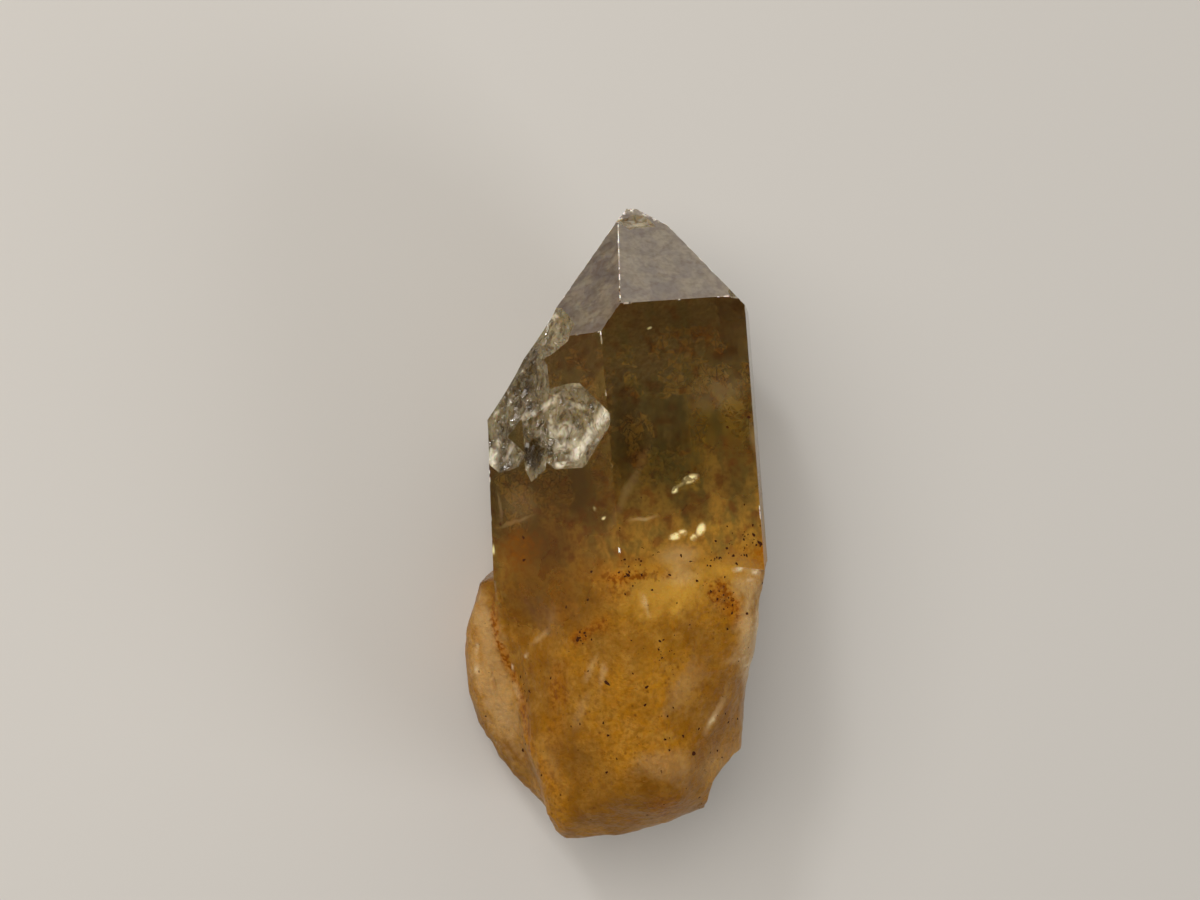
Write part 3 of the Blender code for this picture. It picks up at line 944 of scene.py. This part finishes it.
def paintQuartz():
    quartz = newMaterial("smoky_citrine_quartz", quartzSet["shader"])
    tree = quartz.node_tree
    shader = tree.nodes["Principled BSDF"]
    places = quartzPlaces(tree)
    pattern = {
        name: noiseAt(tree, places[where], *values)
        for name, (where, *values) in quartzSet["patterns"].items()
    }
    drawn = {
        name: coverOf(tree, places[where], clearMarks[name], edge)
        for name, (where, edge) in markSet["drawn"].items()
    }
    keptNames = ("tipFace", "nicked", "brokenFace", *rootMarks, *breakMarks)
    kept = {name: addNode(tree, "Attribute", {"attribute_name": name}).outputs["Fac"] for name in keptNames}

    # where the root is, and the milk that thins out upwards from the foot of the clear half
    rise = riseOf(tree, places)
    along = addNode(tree, "SeparateXYZ", None, {"Vector": places["warped"]}).outputs["Y"]
    offBay = addedUp(tree, 1.0, [(drawn["bay"], -1.0)])
    root, haze = [
        overlapOf(tree, addNode(tree, "MapRange", {"interpolation_type": "SMOOTHSTEP"}, {
            "Value": height, **quartzSet[fade],
        }).outputs[0], offBay)
        for height, fade in ((along, "rootFade"), (rise, "hazeFade"))
    ]
    haze = addNode(tree, "Math", {"operation": "MAXIMUM"}, {0: haze, 1: root}).outputs[0]
    clear = addNode(tree, "MapRange", None, {"Value": haze, **quartzSet["hazeClear"]}).outputs[0]
    rough = addNode(tree, "MapRange", None, {"Value": haze, **quartzSet["hazeRough"]}).outputs[0]
    mottled = overlapOf(tree, pattern["streaks"], quartzSet["clearLayers"][0][1])
    clear = addedUp(tree, clear, [(mottled, quartzSet["mottleClear"])])

    clearTone = toneAlong(tree, rise, quartzSet["clearTones"])
    clearTone = patterned(tree, clearTone, pattern, quartzSet["clearLayers"])
    rootTone = patterned(tree, quartzSet["rootLight"], pattern, quartzSet["rootLayers"])
    tone = layOver(tree, clearTone, [(root, dotted(tree, rootTone, places))])
    tipEtchAndSheenTone = patterned(tree, quartzSet["tipEtchAndSheen"], pattern, quartzSet["tipLayers"])
    stainTone = patterned(tree, quartzSet["stain"], pattern, quartzSet["stainLayers"])

    # the fracture: frosty flakes with painted highlights on their raised parts, over painted shade in the
    # hollows
    broken = kept["brokenFace"]
    splinters = addNode(tree, "TexNoise", None, {
        "Vector": places["splintered"], **quartzSet["splinters"],
    }).outputs["Fac"]
    flaked = addNode(tree, "MapRange", None, {"Value": splinters, **quartzSet["flaked"]}).outputs[0]
    paintedHollowShade = addNode(tree, "MapRange", None, {"Value": splinters, **quartzSet["paintedHollowShade"]}).outputs[0]
    least, more = quartzSet["flakeFrostAndHighlight"]
    frostAndHighlights = addNode(tree, "Math", {"operation": "MAXIMUM"}, {
        0: overlapOf(tree, kept["frost"], addedUp(tree, least, [(flaked, more)])),
        1: overlapOf(tree, flaked, quartzSet["strayFrostAndHighlight"]),
    }).outputs[0]

    least, more = quartzSet["grained"]
    granular = addedUp(tree, least, [(pattern["fine"], more)])
    rootGrains = overlapOf(tree, root, granular)
    whole = addedUp(tree, 1.0, [(pattern["crumbs"], quartzSet["glintCrumbs"])])
    layers = [  # cover, tone, less clear, rougher
        (drawn["shade"], quartzSet["shade"], 0.0, 0.0),
        (overlapOf(tree, drawn["rust"], granular), quartzSet["rust"], 0.0, 0.0),
        (drawn["pale"], quartzSet["pale"], 0.35, 0.05),
        (overlapOf(tree, drawn["stain"], granular), quartzSet["stain"], 0.2, 0.05),
        (overlapOf(tree, kept["dusk"], root), quartzSet["dusk"], -0.12, -0.1),
        # the painted glow where light comes through the root
        (overlapOf(tree, kept["paintedGlow"], root), quartzSet["paintedGlow"], 0.0, -0.05),
        (overlapOf(tree, kept["pale"], root), quartzSet["pale"], 0.2, -0.1),
        (overlapOf(tree, kept["stain"], quartzSet["stainGain"], rootGrains), stainTone, 0.25, 0.0),
        # frosty bits of the root's skin, with painted glints on them
        (overlapOf(tree, kept["frostAndGlints"], rootGrains), quartzSet["gleam"], 0.2, 0.0),
        # the tip faces: etched satin, with a painted reflection in their grey
        (kept["tipFace"], tipEtchAndSheenTone, 0.26, 0.18),
        (broken, quartzSet["broken"], 0.0, -0.05),
        (overlapOf(tree, kept["hollow"], broken), quartzSet["hollow"], -0.05, 0.0),
        # painted shade in the hollows of the break
        (overlapOf(tree, broken, paintedHollowShade), quartzSet["shade"], 0.0, 0.0),
        # frost on the break, with painted highlights on its raised flakes
        (overlapOf(tree, frostAndHighlights, broken), quartzSet["frost"], 0.7, 0.15),
        # painted glints of the fresh cracks
        (overlapOf(tree, drawn["glint"], whole), quartzSet["glint"], 0.7, -0.05),
        (overlapOf(tree, drawn["frost"], pattern["sugary"]), quartzSet["nick"], 0.8, 0.2),
        (kept["nicked"], quartzSet["nick"], 0.9, 0.2),
    ]
    tone = layOver(tree, tone, [(cover, colour) for cover, colour, _, _ in layers])
    clear = addedUp(tree, clear, [(cover, -lessClear) for cover, _, lessClear, _ in layers])
    rough = addedUp(tree, rough, [(cover, rougher) for cover, _, _, rougher in layers])
    clear = addNode(tree, "Clamp", None, {"Value": clear, "Max": quartzSet["mostClear"]}).outputs[0]
    tree.links.new(tone, shader.inputs["Base Color"])
    tree.links.new(clear, shader.inputs["Transmission Weight"])
    tree.links.new(rough, shader.inputs["Roughness"])

    relief = quartzSet["relief"]
    grain = addNode(tree, "TexNoise", None, {"Vector": places["seen"], **quartzSet["grain"]}).outputs["Fac"]
    height = addedUp(tree, 0.0, [(kept["tipFace"], relief["tip"]), (root, relief["root"])])
    height = overlapOf(tree, grain, height)
    height = addedUp(tree, height, [(overlapOf(tree, broken, splinters), relief["break"])])
    bump = addNode(tree, "Bump", None, {"Height": height, "Distance": mm, "Strength": 1.0})
    tree.links.new(bump.outputs[0], shader.inputs["Normal"])

    bare = addNode(tree, "Math", {"operation": "MAXIMUM"}, {0: kept["tipFace"], 1: broken}).outputs[0]
    tree.links.new(layOver(tree, quartzSet["sheen"], [(bare, "#ffffff")]), shader.inputs["Specular Tint"])
    smoke = addNode(tree, "VolumeAbsorption", None, quartzSet["smoke"])
    tree.links.new(smoke.outputs[0], tree.nodes["Material Output"].inputs["Volume"])
    return quartz


point = buildPoint()
point.data.materials.append(paintQuartz())
print("quartz point has", len(point.data.polygons), "faces")

# The milk that clouds the root from inside, fading out in the foot of the clear half.
cloudSet = {
    "voxel": 1.2,  # lengths in mm
    "refined": 0.75,  # the second remesh takes this share of the voxel
    "inset": 1.6,  # under the skin
    "top": 2.0,  # along the axis
    "slope": 0.3,  # the top is higher at the back
    "lean": 0.28,  # and higher on the right
    "wispBand": (-3.0, 2.0),
    "wisps": (8.0, 4.0),  # size and height
    "tones": {-12.0: "#dca848", -2.0: "#c49034", 6.0: "#8c6a2c"},
    "blotch": "#a06820",
    "blotches": (4.0, 0.42, 0.66, 4.0),  # size in mm, noise from and to, octaves
    "blotchStrength": 0.6,
    "shader": {"Roughness": 0.9, "Specular IOR Level": 0.2},
}


def paintMilk():
    milk = newMaterial("milky_quartz", cloudSet["shader"])  # soft, with no shine of its own
    tree = milk.node_tree
    seen = viewPlaces(tree)
    along = addNode(tree, "SeparateXYZ", None, {"Vector": seen}).outputs["Y"]
    blotch = overlapOf(tree, noiseAt(tree, seen, *cloudSet["blotches"]), cloudSet["blotchStrength"])
    tone = layOver(tree, toneAlong(tree, along, cloudSet["tones"]), [(blotch, cloudSet["blotch"])])
    tree.links.new(tone, tree.nodes["Principled BSDF"].inputs["Base Color"])
    return milk


def buildCloud():
    piece = copyOfNode("milky_cloud")
    voxel = cloudSet["voxel"]
    addModifier(piece, "REMESH", {"mode": "VOXEL", "voxel_size": voxel * mm})
    addModifier(piece, "DISPLACE", {"strength": -cloudSet["inset"] * mm, "mid_level": 0.0})
    slope, lean = cloudSet["slope"], cloudSet["lean"]
    editAll()
    bpy.ops.mesh.bisect(
        plane_co=placeAt(0, cloudSet["top"], 0),
        plane_no=(alongDir + outDir * slope - acrossDir * lean).normalized(),
        use_fill=True, clear_outer=True,
    )
    bpy.ops.mesh.select_all(action="SELECT")
    bpy.ops.mesh.quads_convert_to_tris()
    bpy.ops.object.mode_set(mode="OBJECT")
    addModifier(piece, "REMESH", {"mode": "VOXEL", "voxel_size": cloudSet["refined"] * voxel * mm})

    def wispWeight(vertex):
        across, along, out = seenAt(vertex.co)
        return share(along + slope * out - lean * across, *cloudSet["wispBand"])

    weigh(piece, "wisps", wispWeight)
    roughen(piece, "CLOUDS", *cloudSet["wisps"], "wisps")
    bpy.ops.object.shade_smooth()
    piece.data.materials.append(paintMilk())
    return piece


cloud = buildCloud()
print("milky cloud has", len(cloud.data.polygons), "faces")

# Healed cracks inside the clear half: wavy sheets of tiny flecks, thin as smoke.
veilSet = {
    "cell": 0.5,  # lengths in mm
    "rim": 0.13,  # taken off each side of a fleck
    "skin": 0.6,  # kept clear under the surface
    "wave": (5.0, 3.0),  # size and height
    "scatter": 0.5,
    "clumps": 3.0,  # size of the noise that gathers the flecks
    "clumpNoise": (0.9, 2.2, 4),  # its dimension, lacunarity and octaves
    "clumpLevel": (0.55, 1.2),  # the level of an empty sheet, and what a full one takes off it
    "shader": {"Base Color": "#b79c62", "Roughness": 0.6},
    "sheets": [  # centre, width and length, lean and tilt in degrees, share of flecks
        ((12.0, 18.0, 5.0), (9.0, 12.0), (25.0, 15.0), 0.5),
        ((1.0, 11.0, 6.0), (5.0, 14.0), (20.0, -35.0), 0.45),
        ((-9.0, 8.0, 4.0), (12.0, 9.0), (-15.0, 20.0), 0.5),
        ((8.0, 8.0, 2.0), (16.0, 12.0), (30.0, -10.0), 0.55),
        ((5.0, 24.0, 2.0), (14.0, 10.0), (-35.0, 10.0), 0.4),
        ((-7.0, 22.0, 2.0), (8.0, 14.0), (10.0, 30.0), 0.4),
    ],
}


def addSheet(centre, size, turns, values, seed):  # a wavy grid inside the crystal
    bpy.ops.object.select_all(action="DESELECT")
    across, along = [max(int(length / values["cell"]), 2) for length in size]
    bpy.ops.mesh.primitive_grid_add(x_subdivisions=across, y_subdivisions=along, size=1.0)
    sheet = bpy.context.object
    lean, tilt = [math.radians(turn) for turn in turns]
    turned = Matrix.Rotation(-viewTurn, 4, "Y") @ Euler((lean, tilt, 0.0)).to_matrix().to_4x4()
    stretch = Matrix.Diagonal((size[0] * mm, size[1] * mm, 1.0, 1.0))
    sheet.matrix_world = Matrix.Translation(placeAt(*centre)) @ turned @ stretch
    bpy.ops.object.transform_apply(location=True, rotation=True, scale=True)
    roughen(sheet, "CLOUDS", *values["wave"])
    editAll()
    bpy.ops.transform.vertex_random(offset=values["scatter"] * mm, uniform=1.0, normal=0.0, seed=seed)
    bpy.ops.object.mode_set(mode="OBJECT")
    return sheet


def joinAll(pieces, name):
    makeActive(pieces[0])
    for piece in pieces:
        piece.select_set(True)
    bpy.ops.object.join()
    pieces[0].name = name
    return pieces[0]


def depthIn(skin, spot):  # how far inside the crystal a spot is
    near, normal = skin.find_nearest(spot)[:2]
    return (near - spot).dot(normal)


def buildVeils(skin):
    sheets = []
    start, taken = veilSet["clumpLevel"]
    for seed, (centre, size, turns, fullness) in enumerate(veilSet["sheets"]):
        sheet = addSheet(centre, size, turns, veilSet, seed)

        def isOut(face):
            spot = face.center / (veilSet["clumps"] * mm) + Vector((seed, 0, 0))
            sparse = noise.fractal(spot, *veilSet["clumpNoise"]) < start - fullness * taken
            return sparse or depthIn(skin, face.center) < veilSet["skin"] * mm

        selectIn(sheet, "FACE", isOut)
        bpy.ops.mesh.delete(type="FACE")
        bpy.ops.mesh.select_all(action="SELECT")
        bpy.ops.mesh.inset(thickness=veilSet["rim"] * mm, use_individual=True, use_even_offset=False)
        bpy.ops.mesh.select_all(action="INVERT")
        bpy.ops.mesh.delete(type="FACE")
        bpy.ops.object.mode_set(mode="OBJECT")
        sheets.append(sheet)
    veils = joinAll(sheets, "healed_veils")
    veils.data.materials.append(newMaterial("fluid_inclusions", veilSet["shader"]))  # pale and dusty
    return veils


# Three fresh cracks that shine like gold leaf: pale sheets whose colour paints in the light that their air
# gaps mirror.
mirrorSet = {
    "cell": 0.14,  # lengths in mm
    "wave": (1.6, 0.35),  # size and height
    "scatter": 0.03,
    "ragged": (0.6, 1.4),  # size and strength
    "edge": 0.8,
    # a pale gold colour that paints in the reflection of the crack
    "shader": {"Base Color": "#fff3b8", "Metallic": 0.25, "Roughness": 0.4},
    "cracks": [  # centre, width and length, lean and tilt in degrees
        ((6.4, 8.6, 8.5), (3.4, 1.6), (-6.0, 5.0)),
        ((5.2, 2.7, 8.8), (2.8, 2.2), (-3.0, 6.0)),
        ((8.2, 2.9, 8.8), (2.8, 1.7), (-7.0, 5.0)),
    ],
}


def buildMirrors():
    cracks = []
    raggedSize, raggedShare = mirrorSet["ragged"]
    for seed, (centre, size, turns) in enumerate(mirrorSet["cracks"]):
        crack = addSheet(centre, size, turns, mirrorSet, seed)
        middle = placeAt(*centre)

        def isOut(face):
            away = (face.center - middle) / mm
            reach = math.hypot(away.dot(acrossDir) / size[0], away.y / size[1]) * 2.0
            ragged = raggedShare * noise.noise(face.center / (raggedSize * mm))
            return reach + ragged > mirrorSet["edge"]

        selectIn(crack, "FACE", isOut)
        bpy.ops.mesh.delete(type="FACE")
        bpy.ops.object.mode_set(mode="OBJECT")
        cracks.append(crack)
    mirrors = joinAll(cracks, "mirror_cracks")
    leaf = newMaterial("fresh_crack_painted_gleam", mirrorSet["shader"])  # its pale gold paints in the gleam of the air gap inside
    mirrors.data.materials.append(leaf)
    return mirrors


# Grains of iron oxide in the skin, most of them in the root.
speckSet = {
    "flatness": 0.35,
    "sunk": 0.6,  # this share of a grain lies under the skin
    "seed": 11,
    "jagged": 0.12,  # mm, on a grain 1 mm across
    "outside": 60.0,  # mm from the axis, where the way to a grain's place starts
    "lowest": 0.5,  # mm over the surface that the crystal lies on
    "stretch": (1.0, 1.8),
    "shader": {"Base Color": "#3c1c08", "Roughness": 0.8, "Specular IOR Level": 0.1},
    "strewn": {
        "count": 330,
        "halfWidth": 8.0,  # lengths in mm
        "top": 14.0,  # along the axis
        "length": 46.0,
        "crowding": 0.6,  # less than 1 crowds them towards the lower end
        "size": (0.1, 0.28, 3),  # the least, what is added at most, and how rare the large ones are
    },
    "clusterSize": (0.12, 0.22, 2),
    "clusters": [  # across, along, reach, how many
        (13.5, 1.0, 2.4, 30), (10.0, -0.5, 1.8, 14), (-0.5, -1.2, 2.4, 20), (-7.2, -8.2, 1.2, 12),
        (10.5, -5.5, 1.4, 16), (2.0, -10.5, 1.6, 12), (0.5, 1.8, 2.5, 8), (-14.5, -14.0, 1.2, 8),
    ],
    "named": [  # across, along, size, stretch, turn
        (-4.8, -13.9, 0.5, 2.2, -30), (13.0, -7.6, 0.42, 1.1, 0), (10.4, -9.2, 0.32, 1.2, 20),
        (2.1, -18.6, 0.36, 1.0, 0), (1.5, -21.3, 0.32, 1.3, 10), (1.9, -22.6, 0.34, 1.0, 0),
        (3.7, -21.2, 0.28, 1.2, 50), (4.8, -23.5, 0.62, 1.3, 70), (7.8, -23.9, 0.36, 1.2, 0),
        (9.2, -19.5, 0.3, 1.0, 0), (-15.6, -21.4, 0.36, 1.3, 20), (-16.1, -22.5, 0.46, 1.5, 60),
        (15.6, 16.2, 0.4, 1.5, 30), (12.8, 15.2, 0.32, 1.4, 0), (15.5, 0.7, 0.5, 2.0, -20),
        (14.8, 1.8, 0.4, 1.6, -30), (12.0, -0.4, 0.4, 1.3, 40), (10.0, 1.6, 0.34, 1.2, 0),
        (11.3, 0.6, 0.34, 1.3, 20), (-1.0, -1.2, 0.4, 2.0, 80), (0.6, -1.4, 0.3, 1.5, 60),
        (-7.8, -8.6, 0.5, 1.6, 60), (-6.9, -7.8, 0.34, 1.4, 30), (4.0, -1.8, 0.3, 1.8, 50),
        (7.2, -2.9, 0.36, 1.2, 0), (8.8, -4.4, 0.32, 1.4, 40), (-13.5, 1.4, 0.4, 1.5, 20),
    ],
}


def grainShots(dice):  # where each grain is shot from, the way to the skin, size, stretch and turn
    strewn, outside = speckSet["strewn"], speckSet["outside"]

    def drawGrain(least, added, power):
        size = least + added * dice.random() ** power
        stretch = dice.uniform(*speckSet["stretch"])
        return size, stretch, dice.uniform(0, 180)

    shots = [
        (placeAt(across, along, outside), -outDir, *looks) for across, along, *looks in speckSet["named"]
    ]
    for _ in range(strewn["count"]):
        around = dice.uniform(-math.pi, math.pi)
        along = strewn["top"] - strewn["length"] * dice.random() ** strewn["crowding"]
        way = (acrossDir * math.sin(around) + outDir * math.cos(around)).normalized()
        across = dice.uniform(-strewn["halfWidth"], strewn["halfWidth"])
        start = placeAt(across, along, 0.0) + way * outside * mm
        shots.append((start, -way, *drawGrain(*strewn["size"])))
    for across, along, reach, count in speckSet["clusters"]:
        for _ in range(count):
            start = placeAt(dice.gauss(across, reach / 2), dice.gauss(along, reach / 2), outside)
            shots.append((start, -outDir, *drawGrain(*speckSet["clusterSize"])))
    return shots


def buildSpecks(skin):
    bpy.ops.object.select_all(action="DESELECT")
    bpy.ops.mesh.primitive_ico_sphere_add(subdivisions=1, radius=0.5 * mm)
    grain = bpy.context.object
    editAll()
    jagged, seed = speckSet["jagged"] * mm, speckSet["seed"]
    bpy.ops.transform.vertex_random(offset=jagged, uniform=1.0, normal=0.0, seed=seed)
    bpy.ops.object.mode_set(mode="OBJECT")
    grains = []
    for start, way, size, stretch, turn in grainShots(random.Random(seed)):
        spot, normal = skin.ray_cast(start, way)[:2]
        if spot is None or spot.z < speckSet["lowest"] * mm:
            continue
        copy = grain.copy()
        copy.data = grain.data.copy()
        bpy.context.scene.collection.objects.link(copy)
        thick = size * speckSet["flatness"]
        facing = normal.to_track_quat("Z", "Y").to_matrix().to_4x4()
        facing = facing @ Matrix.Rotation(math.radians(turn), 4, "Z")
        place = Matrix.Translation(spot - normal * thick * (speckSet["sunk"] - 0.5) * mm)
        copy.matrix_world = place @ facing @ Matrix.Diagonal((size, size * stretch, thick, 1.0))
        grains.append(copy)
    bpy.data.objects.remove(grain)
    specks = joinAll(grains, "iron_specks")
    bpy.ops.object.transform_apply(location=True, rotation=True, scale=True)
    specks.data.materials.append(newMaterial("iron_oxide", speckSet["shader"]))  # dull brownish black
    return specks


skin = BVHTree.FromPolygons(
    [vertex.co.copy() for vertex in point.data.vertices],
    [list(face.vertices) for face in point.data.polygons],
)
veils = buildVeils(skin)
print("healed veils have", len(veils.data.polygons), "flecks")
mirrors = buildMirrors()
print("mirror cracks have", len(mirrors.data.polygons), "faces")
specks = buildSpecks(skin)
print("iron specks have", len(specks.data.polygons), "faces")

for piece in (point, cloud, veils, mirrors, specks):
    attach(piece, "root")
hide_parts("crystal")
